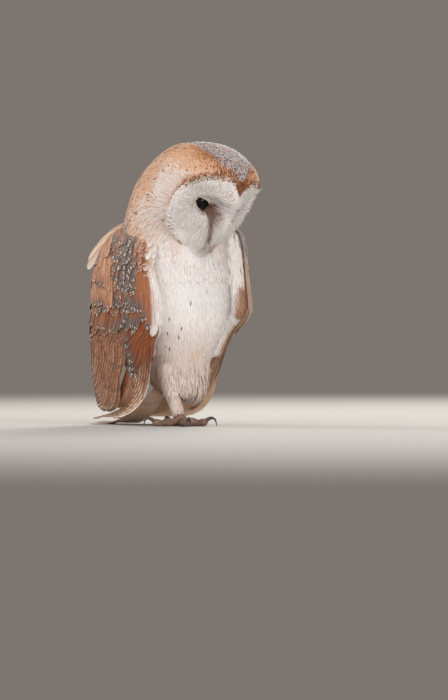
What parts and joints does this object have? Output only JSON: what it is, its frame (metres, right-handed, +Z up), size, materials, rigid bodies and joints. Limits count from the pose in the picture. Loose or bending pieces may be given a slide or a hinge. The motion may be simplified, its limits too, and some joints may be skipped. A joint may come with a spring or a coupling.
{
  "type": "barn owl model",
  "caption": "Life-size still barn owl resting on one foot and its tail, with wings folded, head bowed and turned aside",
  "frame": {"origin": "on the floor, in the middle of the footprint of the whole owl", "axes": "+Z up, the owl's body faces -Y, the owl's left side is +X"},
  "size_m": [0.1156, 0.2024, 0.2632],
  "materials": {
    "crown_feathers": "soft golden-buff feathers with grey and dark speckles",
    "face_feathers": "white hair-like feathers",
    "body_feathers": "soft white feathers",
    "wing_feathers": "golden-buff and tawny feathers with grey patches",
    "flight_feathers": "tawny feathers with faint dark bars",
    "toes": "bare scaly brownish-pink skin",
    "bill": "pinkish ivory horn",
    "claws": "dark grey horn",
    "eyes": "glossy near-black"
  },
  "bodies": {
    "root": {"head": "crown_feathers", "facial_disc": "face_feathers", "neck": "crown_feathers", "trunk": "body_feathers", "tail": "flight_feathers", "wing_right": "wing_feathers", "wing_left": "wing_feathers", "primaries_right": "flight_feathers", "primaries_left": "flight_feathers", "scapulars_right": "wing_feathers", "leg_right": "body_feathers", "leg_left": "body_feathers", "foot_right": "toes", "foot_left": "toes", "bill": "bill", "eye_right": "eyes", "eye_left": "eyes", "claw_right_hind": "claws", "claw_right_inner": "claws", "claw_right_middle": "claws", "claw_right_outer": "claws", "claw_left_1": "claws", "claw_left_2": "claws", "claw_left_3": "claws"}
  },
  "joints": []
}
